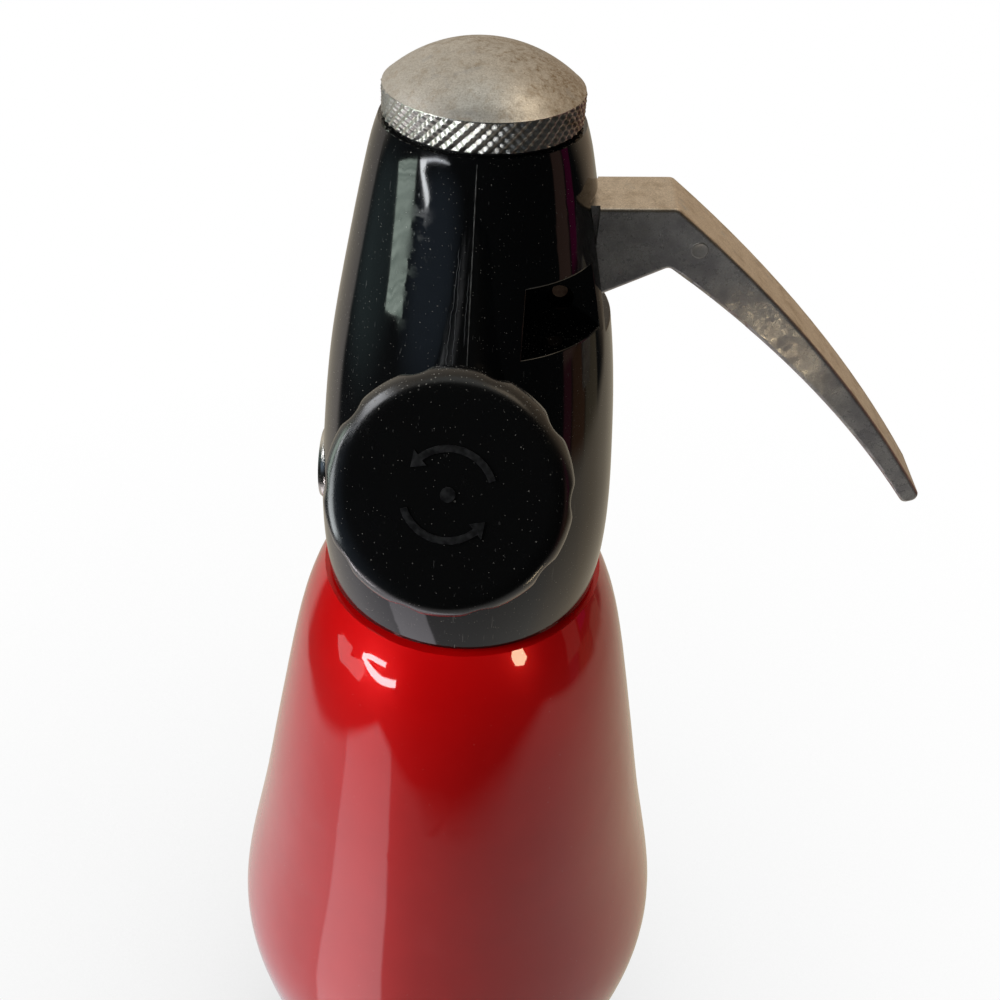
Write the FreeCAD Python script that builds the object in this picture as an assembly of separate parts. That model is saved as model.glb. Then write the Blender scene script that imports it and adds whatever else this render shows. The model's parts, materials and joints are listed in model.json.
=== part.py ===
import FreeCAD, Part
import math
import os

# Soda siphon: aluminium bottle, moulded head with a dispensing valve worked by a lever,
# an inclined holder for one 8 g gas charger, and a screwed cap on top.
# Millimetres, +Z up. The origin is the centre of the foot on the bottle's axis.
# +X points along the lever, -Y along the charger holder, -X out of the spout socket.

V = FreeCAD.Vector
UP = V(0, 0, 1)
OUT_X = V(1, 0, 0)
OUT_Y = V(0, 1, 0)

# ---------------------------------------------------------------- driving dimensions
HEAD_Z = 215.0            # foot plane to the head's lower edge; heights below count from here

# Bottle
BOTTLE_WALL = 1.8
BOTTLE_BASE = 5.0         # metal base above the foot plane
NECK_R = 18.6
NECK_BORE_R = 15.4
NECK_TOP = 9.5
SHOULDER_LEDGE = -1.0
SHOULDER_R = 28.0
NECK_SPIGOT_R = 17.0      # lower end of the neck ring, let into the shell
BOTTLE_CURVE = [(31.5, -9.0), (35.0, -21.6), (38.4, -37.8), (42.5, -58.5), (47.0, -81.0),
                (52.0, -103.5), (53.8, -116.0), (53.2, -128.0), (50.4, -145.0), (46.9, -165.0),
                (43.8, -187.0)]
BOTTLE_FOOT_R = 41.6
BASE_DOME = 9.0           # rise of the inward domed base
FOOT_HEIGHT = 15.0
FOOT_WALL = 2.2

# Head housing
HEAD_BASE_R = 27.0
HEAD_CURVE = [(27.7, 13.6), (26.6, 31.7), (24.6, 49.7), (21.2, 67.8), (17.8, 83.5), (16.9, 87.0)]
HEAD_TOP = 89.9
HEAD_TOP_R = 15.9
HEAD_WALL = 2.6
HEAD_BORE_R = 22.85       # bore over the valve body's skirt
LEDGE_R = 21.2
LEDGE_TOP = 18.5
POCKET_X = 8.2            # side pockets that give access to the lever pin
POCKET_BACK = 9.2
POCKET_LOW = 60.3
POCKET_HIGH = 71.2
POCKET_WALL = 1.3
SLOT_HALF = 6.6
SLOT_LOW = 58.0
SLOT_HIGH = 80.2
PIN_WINDOW_R = 2.2
MOUTH_ROUND = 0.3         # rounded edge of the pockets and the slot

# Valve body, tower and stem
PLATE_LOW = 12.5
PLATE_TOP = 16.0
SKIRT_R = 22.8
SKIRT_LOW = 0.8
THREAD_GAP = 0.1          # neck to skirt, per side
COLUMN_R = 9.0
COLUMN_TOP = 54.0
CHAMBER_R = 4.2
CHAMBER_TOP = 29.0
SEAT_TOP = 17.5
STEM_R = 2.0
STEM_TOP = 92.0
STEM_BORE_R = 2.3
SPIGOT_R = 6.0
SPIGOT_LOW = 4.0
TOWER_R = 8.5
TOWER_BORE_R = 6.2
TOWER_TOP = 95.6
PLUG_LOW = 90.0
COLLAR_LOW = 67.05
COLLAR_TOP = 69.6
SPRING_R = 4.2
SPRING_WIRE_R = 0.55
SPRING_TURNS = 6

# Lever
PIVOT = (13.9, 65.0)      # x, height of the pin
PIN_R = 1.25
LEVER_HALF = 6.2
LEVER_INNER = 5.0         # half width inside the head
FORK_HALF = 7.0           # outside of the metal cheeks that carry the pin
FORK_GAP = 5.3
NOSE_R = 2.0
LEVER_HUB_R = 4.0
LEVER_EDGE = 0.7
KNEE_TOP = (30.8, 79.9)
KNEE_LOW = (30.9, 69.8)
ARM_TOP = (55.8, 58.7)      # middle of the arm's upper and lower arcs
ARM_LOW = (58.3, 49.0)
TIP_TOP = (84.6, 26.0)
TIP_LOW = (81.4, 24.7)

# Charger holder, measured along its inclined axis from the head's axis
TILT = math.radians(35.0)
TILT_HEIGHT = 24.3        # where the inclined axis crosses the head's axis
CHARGER_R = 9.3
CHARGER_LENGTH = 65.8
CHARGER_TIP = 13.8
CHARGER_NECK_R = 4.4
HOLDER_BORE_R = 9.5
HOLDER_R = 10.6
RUNNING_GAP = 0.06
SOCKET_R = 11.7
SOCKET_MOUTH = 35.2
BOSS_R = 13.4
BOSS_FACE = 36.0
KNOB_R = 15.1
KNOB_RIM = 77.4           # plane of the widest ring
KNOB_FACE = 81.8
KNOB_BACK = 40.0
GRIP_R = 12.8             # tapered grip behind the scalloped end
GRIP_END = 70.2
KNOB_FLUTES = 10
FLUTE_R = 3.2
FLUTE_DEPTH = 0.55

# Spout socket on the -X side
OUTLET_HEIGHT = 20.8
OUTLET_FACE = 27.6
OUTLET_R = 7.0
OUTLET_BORE_R = 4.5
OUTLET_STOP = 19.0
OUTLET_BACK = 17.5

# Riser and measuring tube
RISER_R = 3.5
RISER_BORE_R = 2.6
RISER_END = -192.0
MEASURE_R = 10.4
MEASURE_BORE_R = 9.2
MEASURE_END = -48.0
FLANGE_TOP = 11.0

# Cap
CAP_LOW = 90.4
CAP_R = 15.4
CAP_BAND = 4.4
CAP_DOME = 5.9
CAP_CEILING = 96.2


# ---------------------------------------------------------------- small tools
def up(height):
    """Point on the bottle's axis at a height above the head's lower edge."""
    return V(0, 0, HEAD_Z + height)


def cylinder(radius, low, high):
    """Upright cylinder between two heights."""
    return Part.makeCylinder(radius, high - low, up(low))


def ring(inner, outer, low, high):
    """Upright ring between two heights."""
    return cylinder(outer, low, high).cut(cylinder(inner, low - 1, high + 1))


def block(x_low, x_high, y_low, y_high, low, high):
    """Box between two corners."""
    return Part.makeBox(x_high - x_low, y_high - y_low, high - low, V(x_low, y_low, HEAD_Z + low))


def sideways(radius, x_low, x_high, height):
    """Cylinder along X at a height."""
    return Part.makeCylinder(radius, x_high - x_low, V(x_low, 0, HEAD_Z + height), OUT_X)


def curve(points):
    """Smooth curve through (radius, height) points."""
    line = Part.BSplineCurve()
    line.interpolate([V(r, 0, HEAD_Z + h) for r, h in points])
    return line.toShape()


def polyline(points):
    """Straight edges through (radius, height) points."""
    ends = [V(r, 0, HEAD_Z + h) for r, h in points]
    return [Part.makeLine(a, b) for a, b in zip(ends, ends[1:])]


def dome(radius, height, rise):
    """Arc of a sphere centred on the axis, from (radius, height) up to the axis."""
    sphere = (radius * radius + rise * rise) / (2 * rise)
    half = math.asin(radius / sphere) / 2
    middle = V(sphere * math.sin(half), 0, height + rise - sphere + sphere * math.cos(half))
    return Part.Arc(V(radius, 0, height), middle, V(0, 0, height + rise)).toShape()


def turned(edges):
    """Solid of revolution about the bottle's axis from the edges of a closed half section."""
    wire = Part.Wire(Part.__sortEdges__(edges))
    return Part.Face(wire).revolve(V(0, 0, 0), UP, 360)


def turned_outline(points):
    """Solid of revolution from a closed polygon of (radius, height) points."""
    return turned(polyline(points + points[:1]))


CHARGER_AXIS = V(0, -math.cos(TILT), math.sin(TILT))


def along(distance):
    """Point on the charger's axis."""
    return up(TILT_HEIGHT) + CHARGER_AXIS * distance


def inclined(radius, near, far):
    """Cylinder on the charger's axis."""
    return Part.makeCylinder(radius, far - near, along(near), CHARGER_AXIS)


def to_charger_axis(solid):
    """Moves a solid modelled about +Z, with distance as height, on to the charger's axis."""
    solid.Placement = FreeCAD.Placement(up(TILT_HEIGHT), FreeCAD.Rotation(UP, CHARGER_AXIS))
    return solid


def profile_xz(start, steps):
    """Closed face in the XZ plane. A step is one end point, or a mid point and an end point of an arc."""
    edges = []
    here = V(start[0], 0, HEAD_Z + start[1])
    for step in steps:
        there = V(step[-1][0], 0, HEAD_Z + step[-1][1])
        if len(step) == 1:
            edges.append(Part.makeLine(here, there))
        else:
            middle = V(step[0][0], 0, HEAD_Z + step[0][1])
            edges.append(Part.Arc(here, middle, there).toShape())
        here = there
    return Part.Face(Part.Wire(edges))


# ---------------------------------------------------------------- bottle
def bottle_section(inset):
    """Points of the bottle's wall from the shoulder down to the foot, moved in by inset."""
    foot = BOTTLE_BASE - HEAD_Z
    return [(r - inset, h) for r, h in [(SHOULDER_R, SHOULDER_LEDGE - inset)] + BOTTLE_CURVE
            + [(BOTTLE_FOOT_R, foot + 1.5 + inset)]]


def make_bottle():
    """Drawn shell: shoulder with a round hole, belly, and a base domed inwards."""
    base = BOTTLE_BASE - HEAD_Z
    outer = bottle_section(0.0)
    inner = bottle_section(BOTTLE_WALL)
    foot_r = outer[-1][0] - 3.0
    solid = turned([curve(outer)]
                   + polyline([outer[-1], (foot_r, base), (foot_r - 4, base), (0, base + BASE_DOME)])
                   + polyline([(0, base + BASE_DOME), (0, SHOULDER_LEDGE), outer[0]]))
    inner_r = inner[-1][0] - 3.0
    hollow = turned([curve(inner)]
                    + polyline([inner[-1], (inner_r, base + BOTTLE_WALL), (inner_r - 3, base + BOTTLE_WALL),
                                (0, base + BASE_DOME + BOTTLE_WALL)])
                    + polyline([(0, base + BASE_DOME + BOTTLE_WALL), (0, SHOULDER_LEDGE + 1),
                                (NECK_SPIGOT_R, SHOULDER_LEDGE + 1), (NECK_SPIGOT_R, inner[0][1]), inner[0]]))
    return solid.cut(hollow)


def make_neck_ring():
    """Threaded ring on the shoulder, brazed in by the spigot below its ledge."""
    body = ring(NECK_BORE_R, NECK_R, SHOULDER_LEDGE, NECK_TOP)
    return body.fuse(ring(NECK_BORE_R, NECK_SPIGOT_R, SHOULDER_LEDGE - BOTTLE_WALL, SHOULDER_LEDGE))


def make_foot_ring():
    """Plastic cup ring pressed on the lower end of the bottle; the bottle stands in it."""
    ground = -HEAD_Z
    base = BOTTLE_BASE - HEAD_Z
    rim = BOTTLE_FOOT_R + FOOT_WALL
    solid = turned_outline([(rim - 5, ground), (rim - 1.4, ground), (rim - 0.2, ground + 1.5),
                            (rim + 1.0, ground + FOOT_HEIGHT - 1.2), (rim + 0.2, ground + FOOT_HEIGHT),
                            (28.0, ground + FOOT_HEIGHT), (28.0, base - 1.2), (rim - 5, base - 1.2)])
    outer = bottle_section(0.0)
    foot_r = outer[-1][0] - 3.0
    seat = turned([curve(outer)]
                  + polyline([outer[-1], (foot_r, base), (0, base), (0, SHOULDER_LEDGE), outer[0]]))
    return solid.cut(seat).cut(cylinder(foot_r - 4, ground - 1, ground + FOOT_HEIGHT + 1))


def make_measuring_tube():
    """Tube hung by its flange in the neck; its lower end sets the gas space when filling."""
    tube = ring(MEASURE_BORE_R, MEASURE_R, MEASURE_END, FLANGE_TOP)
    return tube.fuse(ring(MEASURE_BORE_R, NECK_R - 0.6, NECK_TOP, FLANGE_TOP))


# ---------------------------------------------------------------- head housing
def head_section(inset):
    """Points of the housing's outer surface, moved in by inset."""
    return [(r - inset, h) for r, h in [(HEAD_BASE_R, 0.0)] + HEAD_CURVE + [(HEAD_TOP_R, HEAD_TOP)]]


def head_outside():
    """Solid of the housing's tapered form, with a bevel under its lower edge."""
    outer = head_section(0.0)
    bevel = [(HEAD_BASE_R - 0.7, -0.5), outer[0]]
    return turned([curve(outer)] + polyline([outer[-1], (0, HEAD_TOP), (0, -0.5)] + bevel))


def head_cavity():
    """Stepped bore for the valve body, with the hollow of the moulding above it."""
    wall = [p for p in head_section(HEAD_WALL) if p[1] < HEAD_TOP]
    start = (wall[1][0], LEDGE_TOP)
    end = (HEAD_TOP_R - HEAD_WALL + 0.6, HEAD_TOP - 3.0)
    return turned([curve([start] + wall[2:] + [end])]
                  + polyline([end, (0, end[1]), (0, -2), (HEAD_BORE_R, -2), (HEAD_BORE_R, PLATE_TOP),
                              (LEDGE_R, PLATE_TOP), (LEDGE_R, LEDGE_TOP), start]))


def pocket(side, inset):
    """Side pocket beside the lever pin, grown by inset to give its moulded walls."""
    reach = HEAD_BASE_R + 5
    near = POCKET_BACK - inset
    y_low, y_high = (near, reach) if side > 0 else (-reach, -near)
    return block(POCKET_X - inset, reach, y_low, y_high, POCKET_LOW - inset, POCKET_HIGH + inset)


def round_mouths(body):
    """Rounds the outer edges of the pockets and of the lever slot."""
    skin = max(head_outside().Faces, key=lambda face: face.Area)
    reach = HEAD_BASE_R + 5
    area = block(POCKET_X - 0.1, reach, -reach, reach, SLOT_LOW - 0.1, SLOT_HIGH + 0.1).BoundBox
    mouth = []
    for edge in body.Edges:
        middle = edge.valueAt((edge.FirstParameter + edge.LastParameter) / 2)
        on_skin = skin.distToShape(Part.Vertex(middle))[0] < 0.002
        between = SLOT_HALF + 0.1 < abs(edge.BoundBox.Center.y) < POCKET_BACK - 0.1
        if on_skin and area.isInside(edge.BoundBox) and not between:
            mouth.append(edge)
    return body.makeFillet(MOUTH_ROUND, mouth)


def make_head_housing():
    outside = head_outside()
    body = outside.fuse(inclined(BOSS_R, CHARGER_TIP, BOSS_FACE)).cut(head_cavity())
    for side in (1, -1):
        body = body.fuse(pocket(side, POCKET_WALL).common(outside))
    for side in (1, -1):
        body = body.cut(pocket(side, 0.0))
    body = body.cut(block(POCKET_X, HEAD_BASE_R + 5, -SLOT_HALF, SLOT_HALF, SLOT_LOW, SLOT_HIGH))
    window = Part.makeCylinder(PIN_WINDOW_R, 4 * POCKET_BACK,
                               V(PIVOT[0], -2 * POCKET_BACK, HEAD_Z + PIVOT[1]), OUT_Y)
    body = round_mouths(body.cut(window))
    body = body.cut(inclined(SOCKET_R + 0.05, CHARGER_TIP, BOSS_FACE + 10))
    body = body.cut(sideways(OUTLET_R + 0.05, -HEAD_BASE_R - 5, -OUTLET_BACK, OUTLET_HEIGHT))
    body = body.cut(inclined(BOSS_R, CHARGER_TIP - 4, CHARGER_TIP + 3.4))
    return body.cut(cylinder(TOWER_R + RUNNING_GAP, HEAD_TOP - 10, HEAD_TOP + 5))


# ---------------------------------------------------------------- valve body and its pieces
SOCKET_END = CHARGER_TIP - 4.5     # inner end of the charger socket
SOCKET_STEP = CHARGER_TIP + 0.7    # where the socket widens
HUB_END = CHARGER_TIP + 3.2        # outer end of the hub that holds the socket
SOCKET_TAIL_R = 8.3


def make_valve_body():
    neck_bore = NECK_R + THREAD_GAP
    turned_part = turned_outline([(0, SPIGOT_LOW), (SPIGOT_R, SPIGOT_LOW), (SPIGOT_R, PLATE_LOW),
                                  (neck_bore, PLATE_LOW), (neck_bore, SKIRT_LOW), (SKIRT_R, SKIRT_LOW),
                                  (SKIRT_R, PLATE_TOP), (COLUMN_R + 2.5, PLATE_TOP),
                                  (COLUMN_R, PLATE_TOP + 2.5), (COLUMN_R, COLUMN_TOP), (0, COLUMN_TOP)])
    hub = inclined(SOCKET_R + 1.5, CHARGER_TIP - 7, HUB_END)
    branch = sideways(SPIGOT_R, -OUTLET_BACK, 0, OUTLET_HEIGHT)
    body = turned_part.fuse(hub).fuse(branch)
    body = body.cut(cylinder(CHAMBER_R, SPIGOT_LOW - 1, CHAMBER_TOP))
    body = body.cut(cylinder(STEM_BORE_R, CHAMBER_TOP - 1, COLUMN_TOP + 1))
    body = body.cut(cylinder(SPIGOT_R, COLUMN_TOP - 3, COLUMN_TOP + 1))
    body = body.cut(sideways(2.8, -OUTLET_BACK - 1, 0, OUTLET_HEIGHT))
    body = body.cut(sideways(OUTLET_R, -HEAD_BASE_R, -OUTLET_BACK, OUTLET_HEIGHT))
    body = body.cut(inclined(SOCKET_TAIL_R, SOCKET_END, SOCKET_STEP + 1))
    body = body.cut(inclined(SOCKET_R, SOCKET_STEP, HUB_END + 20))
    body = body.cut(inclined(2.0, SOCKET_END - 1.5, SOCKET_END + 1))
    gas_way = Part.makeCylinder(1.0, 24.0, V(0, -7.0, HEAD_Z + PLATE_LOW - 1), UP)
    return body.cut(gas_way)


def make_valve_tower():
    """Tube that carries the cap, with two cheeks that hold the lever pin."""
    spigot = ring(STEM_BORE_R, SPIGOT_R, COLUMN_TOP - 3, COLUMN_TOP + 1)
    foot = ring(STEM_BORE_R, COLUMN_R, COLUMN_TOP, COLUMN_TOP + 3)
    tube = ring(TOWER_BORE_R, TOWER_R, COLUMN_TOP + 2, TOWER_TOP)
    tip = PIVOT[0] + 3.4
    cheeks = block(TOWER_BORE_R, tip, -FORK_HALF, FORK_HALF, COLUMN_TOP + 3, PIVOT[1])
    eye = Part.makeCylinder(3.4, 2 * FORK_HALF, V(PIVOT[0], -FORK_HALF, HEAD_Z + PIVOT[1]), OUT_Y)
    upper = profile_xz((TOWER_BORE_R, PIVOT[1] - 1),
                       [[(tip, PIVOT[1])], [(tip - 1.0, PIVOT[1] + 2.4), (PIVOT[0] + 0.5, PIVOT[1] + 3.36)],
                        [(TOWER_BORE_R, PIVOT[1] + 10)], [(TOWER_BORE_R, PIVOT[1] - 1)]])
    upper = upper.extrude(V(0, 2 * FORK_HALF, 0))
    upper.translate(V(0, -FORK_HALF, 0))
    body = spigot.fuse(foot).fuse(tube).fuse(cheeks).fuse(eye).fuse(upper)
    body = body.cut(cylinder(TOWER_BORE_R, COLUMN_TOP + 3, TOWER_TOP + 1))
    body = body.cut(block(0, tip + 5, -FORK_GAP, FORK_GAP, SLOT_LOW, PIVOT[1] + 15.0))
    hole = Part.makeCylinder(PIN_R, 4 * FORK_HALF, V(PIVOT[0], -2 * FORK_HALF, HEAD_Z + PIVOT[1]), OUT_Y)
    return body.cut(hole)


def make_lever_pin():
    half = FORK_HALF - 0.1
    return Part.makeCylinder(PIN_R, 2 * half, V(PIVOT[0], -half, HEAD_Z + PIVOT[1]), OUT_Y)


def make_valve_seat():
    """Brass seat with a raised lip under the washer."""
    return turned_outline([(1.8, 13.5), (CHAMBER_R, 13.5), (CHAMBER_R, 16.6), (3.0, 16.6),
                           (2.3, SEAT_TOP), (1.8, SEAT_TOP)])


def o_ring(inner, outer, low):
    """Upright O-ring resting on a height."""
    section = (outer - inner) / 2
    return Part.makeTorus(inner + section, section, up(low + section))


def make_seal_bush():
    return ring(STEM_R + 0.1, CHAMBER_R, CHAMBER_TOP - 4.15, CHAMBER_TOP - 2.15)


def make_valve_stem():
    """Rod from the washer up through the tower, with the flange that backs the washer."""
    return turned_outline([(0, SEAT_TOP + 0.1), (1.0, SEAT_TOP + 0.1), (1.0, SEAT_TOP + 2.2),
                           (3.5, SEAT_TOP + 2.2), (3.5, SEAT_TOP + 3.7), (STEM_R, SEAT_TOP + 3.7),
                           (STEM_R, STEM_TOP - 0.6), (STEM_R - 0.6, STEM_TOP), (0, STEM_TOP)])


def make_valve_washer():
    return ring(1.0, 3.5, SEAT_TOP, SEAT_TOP + 2.2)


def make_stem_collar():
    """Turned collar that the lever's fork lifts and the spring pushes down."""
    return turned_outline([(STEM_R, COLLAR_LOW), (5.0, COLLAR_LOW), (5.4, COLLAR_LOW + 0.4),
                           (5.4, COLLAR_TOP - 0.4), (5.0, COLLAR_TOP), (STEM_R, COLLAR_TOP)])


def make_stem_nut():
    corners = [up(COLLAR_TOP) + V(3.3 * math.cos(angle), 3.3 * math.sin(angle), 0)
               for angle in (math.radians(60 * i) for i in range(7))]
    nut = Part.Face(Part.makePolygon(corners)).extrude(V(0, 0, 1.8))
    return nut.cut(cylinder(STEM_R, COLLAR_TOP - 1, COLLAR_TOP + 3))


def make_valve_spring():
    """Compression spring between the collar and the plug."""
    low = COLLAR_TOP + SPRING_WIRE_R
    height = PLUG_LOW - COLLAR_TOP - 2 * SPRING_WIRE_R
    helix = Part.makeHelix(height / SPRING_TURNS, height, SPRING_R)
    helix.translate(up(low))
    section = Part.Wire(Part.makeCircle(SPRING_WIRE_R, up(low) + V(SPRING_R, 0, 0), OUT_Y))
    return Part.Wire(helix.Edges).makePipeShell([section], True, True)


def make_spring_plug():
    plug = ring(STEM_R + 0.08, TOWER_BORE_R, PLUG_LOW, PLUG_LOW + 4)
    return plug.cut(block(-TOWER_R, TOWER_R, -0.6, 0.6, PLUG_LOW + 3, PLUG_LOW + 5))


def make_outlet_socket():
    """Metal bush that takes the plug-in spout, with a groove for its ring seal."""
    bush = sideways(OUTLET_R, -OUTLET_FACE + 0.6, -OUTLET_BACK, OUTLET_HEIGHT)
    rim = Part.makeCone(OUTLET_R, OUTLET_R - 0.5, 0.6,
                        V(-OUTLET_FACE + 0.6, 0, HEAD_Z + OUTLET_HEIGHT), V(-1, 0, 0))
    bush = bush.fuse(rim)
    bush = bush.cut(sideways(OUTLET_BORE_R, -OUTLET_FACE - 1, -OUTLET_STOP, OUTLET_HEIGHT))
    bush = bush.cut(sideways(2.8, -OUTLET_FACE, -OUTLET_BACK + 1, OUTLET_HEIGHT))
    return bush.cut(sideways(OUTLET_BORE_R + 1.2, -24.7, -23.3, OUTLET_HEIGHT))


def make_outlet_seal():
    section = 0.56
    centre = V(-24.0, 0, HEAD_Z + OUTLET_HEIGHT)
    return Part.makeTorus(OUTLET_BORE_R + 0.05 + section, section, centre, OUT_X)


# ---------------------------------------------------------------- neck and riser
def make_neck_gasket():
    return ring(11.0, NECK_R - 0.6, FLANGE_TOP, PLATE_LOW)


def make_check_valve():
    """Flat rubber ring over the gas way's mouth."""
    return ring(SPIGOT_R, 8.8, PLATE_LOW - 0.9, PLATE_LOW)


def make_riser_nut():
    """Union nut that holds the riser tube's flange against its gasket."""
    top = PLATE_LOW - 0.9
    nut = turned_outline([(RISER_R + 0.1, 0.5), (7.6, 0.5), (8.6, 1.5), (8.6, top), (SPIGOT_R, top),
                          (SPIGOT_R, 2.0), (RISER_R + 0.1, 2.0)])
    for i in range(8):
        angle = math.radians(45 * i)
        groove = Part.makeCylinder(0.9, 20, up(-5) + V(9.1 * math.cos(angle), 9.1 * math.sin(angle), 0), UP)
        nut = nut.cut(groove)
    return nut


def make_riser_gasket():
    return ring(RISER_R, SPIGOT_R - 0.1, 3.0, SPIGOT_LOW)


def make_riser_tube():
    """Dip tube with a flange on top and a slanted lower end."""
    tube = ring(RISER_BORE_R, RISER_R, RISER_END, 3.0)
    tube = tube.fuse(ring(RISER_BORE_R, SPIGOT_R - 0.1, 2.0, 3.0))
    slant = block(-10, 10, -10, 10, -10, 0)
    slant.translate(V(0, 0, RISER_END + 2))
    slant.rotate(up(RISER_END + 2), OUT_Y, 30)
    return tube.cut(slant)


# ---------------------------------------------------------------- charger holder
def make_charger_socket():
    """Threaded cup, screwed into the valve body through the housing's boss."""
    tail = inclined(SOCKET_TAIL_R, SOCKET_END, SOCKET_STEP + 1)
    cup = tail.fuse(inclined(SOCKET_R, SOCKET_STEP, SOCKET_MOUTH))
    cup = cup.cut(inclined(3.0, SOCKET_END - 1, CHARGER_TIP))
    cup = cup.cut(inclined(7.0, CHARGER_TIP - 1.5, SOCKET_STEP + 1))
    return cup.cut(inclined(HOLDER_R + RUNNING_GAP, SOCKET_STEP + 1, SOCKET_MOUTH + 1))


def make_piercing_pin():
    """Pressed-in plug with the hollow needle that opens the charger."""
    plug = inclined(3.0, SOCKET_END, CHARGER_TIP - 1.5)
    needle = Part.makeCone(0.9, 0.3, 3.0, along(CHARGER_TIP - 1.5), CHARGER_AXIS)
    return plug.fuse(needle).cut(inclined(0.5, SOCKET_END - 1, CHARGER_TIP - 2.0))


def make_charger_gasket():
    return inclined(7.0, CHARGER_TIP - 1.5, CHARGER_TIP).cut(inclined(1.6, CHARGER_TIP - 3, CHARGER_TIP + 2))


def make_co2_charger():
    """Standard 8 g steel gas charger, neck inwards, with its pierced seal."""
    tip = CHARGER_TIP
    base = CHARGER_TIP + CHARGER_LENGTH
    r = CHARGER_R
    n = CHARGER_NECK_R
    points = [V(1.2, 0, tip + 3), V(1.2, 0, tip), V(n - 0.5, 0, tip), V(n, 0, tip + 0.5), V(n, 0, tip + 7)]
    edges = [Part.makeLine(a, b) for a, b in zip(points, points[1:])]
    shoulder = Part.BSplineCurve()
    shoulder.interpolate([V(n, 0, tip + 7), V(n + 1.6, 0, tip + 9.4),
                          V(r - 0.8, 0, tip + 13), V(r, 0, tip + 17)])
    edges.append(shoulder.toShape())
    edges.append(Part.makeLine(V(r, 0, tip + 17), V(r, 0, base - 7)))
    edges.append(Part.Arc(V(r, 0, base - 7), V(0.78 * r, 0, base - 2.3), V(3, 0, base)).toShape())
    edges += [Part.makeLine(V(3, 0, base), V(0, 0, base)), Part.makeLine(V(0, 0, base), V(0, 0, tip + 3)),
              Part.makeLine(V(0, 0, tip + 3), V(1.2, 0, tip + 3))]
    solid = Part.Face(Part.Wire(edges)).revolve(V(0, 0, 0), UP, 360)
    return to_charger_axis(solid)


def make_charger_holder():
    """Threaded sleeve round the charger."""
    near = SOCKET_STEP + 1.3
    far = CHARGER_TIP + CHARGER_LENGTH
    return inclined(HOLDER_R, near, far).cut(inclined(HOLDER_BORE_R, near - 1, far + 1))


def make_holder_knob():
    """Moulded grip over the sleeve: tapered body, scalloped end with a rounded front edge."""
    floor = CHARGER_TIP + CHARGER_LENGTH
    face_r = KNOB_R - 1.6
    body = [V(HOLDER_R, 0, KNOB_BACK), V(GRIP_R - 0.8, 0, KNOB_BACK), V(GRIP_R, 0, KNOB_BACK + 0.8),
            V(KNOB_R - 0.7, 0, GRIP_END), V(KNOB_R, 0, KNOB_RIM)]
    edges = [Part.makeLine(a, b) for a, b in zip(body, body[1:])]
    edges = [*edges,
             Part.Arc(V(KNOB_R, 0, KNOB_RIM), V(KNOB_R - 0.42, 0, KNOB_RIM + 2.6),
                      V(face_r, 0, KNOB_FACE - 0.3)).toShape(),
             dome(face_r, KNOB_FACE - 0.3, 0.3),
             Part.makeLine(V(0, 0, KNOB_FACE), V(0, 0, floor)),
             Part.makeLine(V(0, 0, floor), V(HOLDER_R, 0, floor)),
             Part.makeLine(V(HOLDER_R, 0, floor), V(HOLDER_R, 0, KNOB_BACK))]
    knob = Part.Face(Part.Wire(edges)).revolve(V(0, 0, 0), UP, 360)
    reach = KNOB_R + FLUTE_R - FLUTE_DEPTH
    for i in range(KNOB_FLUTES):
        angle = 2 * math.pi * i / KNOB_FLUTES
        centre = V(reach * math.cos(angle), reach * math.sin(angle), KNOB_BACK - 1)
        knob = knob.cut(Part.makeCylinder(FLUTE_R, KNOB_FACE - KNOB_BACK + 2, centre, UP))
    return to_charger_axis(knob)


# ---------------------------------------------------------------- lever
def lever_outline():
    """Side view of the lever: nose, hub, stub through the slot, knee and bent arm."""
    px, ph = PIVOT
    hub = LEVER_HUB_R
    return profile_xz(
        (15.6, 78.9),
        [[KNEE_TOP],
         [ARM_TOP, TIP_TOP],
         [TIP_LOW],
         [ARM_LOW, KNEE_LOW],
         [(px + 0.446 * hub, ph - 0.895 * hub)],
         [(px, ph - hub), (px - 0.77 * hub, ph - 0.638 * hub)],
         [(0.0, ph - NOSE_R)],
         [(-NOSE_R, ph), (0.0, ph + NOSE_R)],
         [(6.0, ph + NOSE_R - 0.6)],
         [(10.2, 70.4)],
         [(15.6, 78.9)]])


def make_lever():
    """Cast lever: fork inside the head, hub on the pin, and the bent arm outside."""
    px, ph = PIVOT
    body = lever_outline().extrude(V(0, 2 * LEVER_HALF, 0))
    body.translate(V(0, -LEVER_HALF, 0))
    for (x, h), radius in ((KNEE_TOP, 1.5), (KNEE_LOW, 1.0), (TIP_TOP, 1.4), (TIP_LOW, 1.2)):
        corner = [e for e in body.Edges
                  if e.BoundBox.YLength > LEVER_HALF and abs(e.BoundBox.XMin - x) < 0.01
                  and abs(e.BoundBox.ZMin - HEAD_Z - h) < 0.01]
        body = body.makeFillet(radius, corner)
    long_edges = [e for e in body.Edges
                  if e.BoundBox.YLength < 0.001 and e.BoundBox.XMin > px + 1 and e.BoundBox.XLength > 0.2]
    body = body.makeFillet(LEVER_EDGE, long_edges)
    for y_low, y_high in ((LEVER_INNER, LEVER_HALF + 1), (-LEVER_HALF - 1, -LEVER_INNER)):
        body = body.cut(block(-5, px + LEVER_HUB_R + 1, y_low, y_high, ph - 6, ph + 18))
    body = body.cut(block(-5, 4.4, -2.7, 2.7, ph - 6, ph + 8))
    hole = Part.makeCylinder(PIN_R + 0.05, 4 * LEVER_HALF, V(px, -2 * LEVER_HALF, HEAD_Z + ph), OUT_Y)
    return body.cut(hole)


# ---------------------------------------------------------------- cap
def make_cap_washer():
    return ring(TOWER_R + 0.4, CAP_R - 0.9, HEAD_TOP, CAP_LOW)


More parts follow.
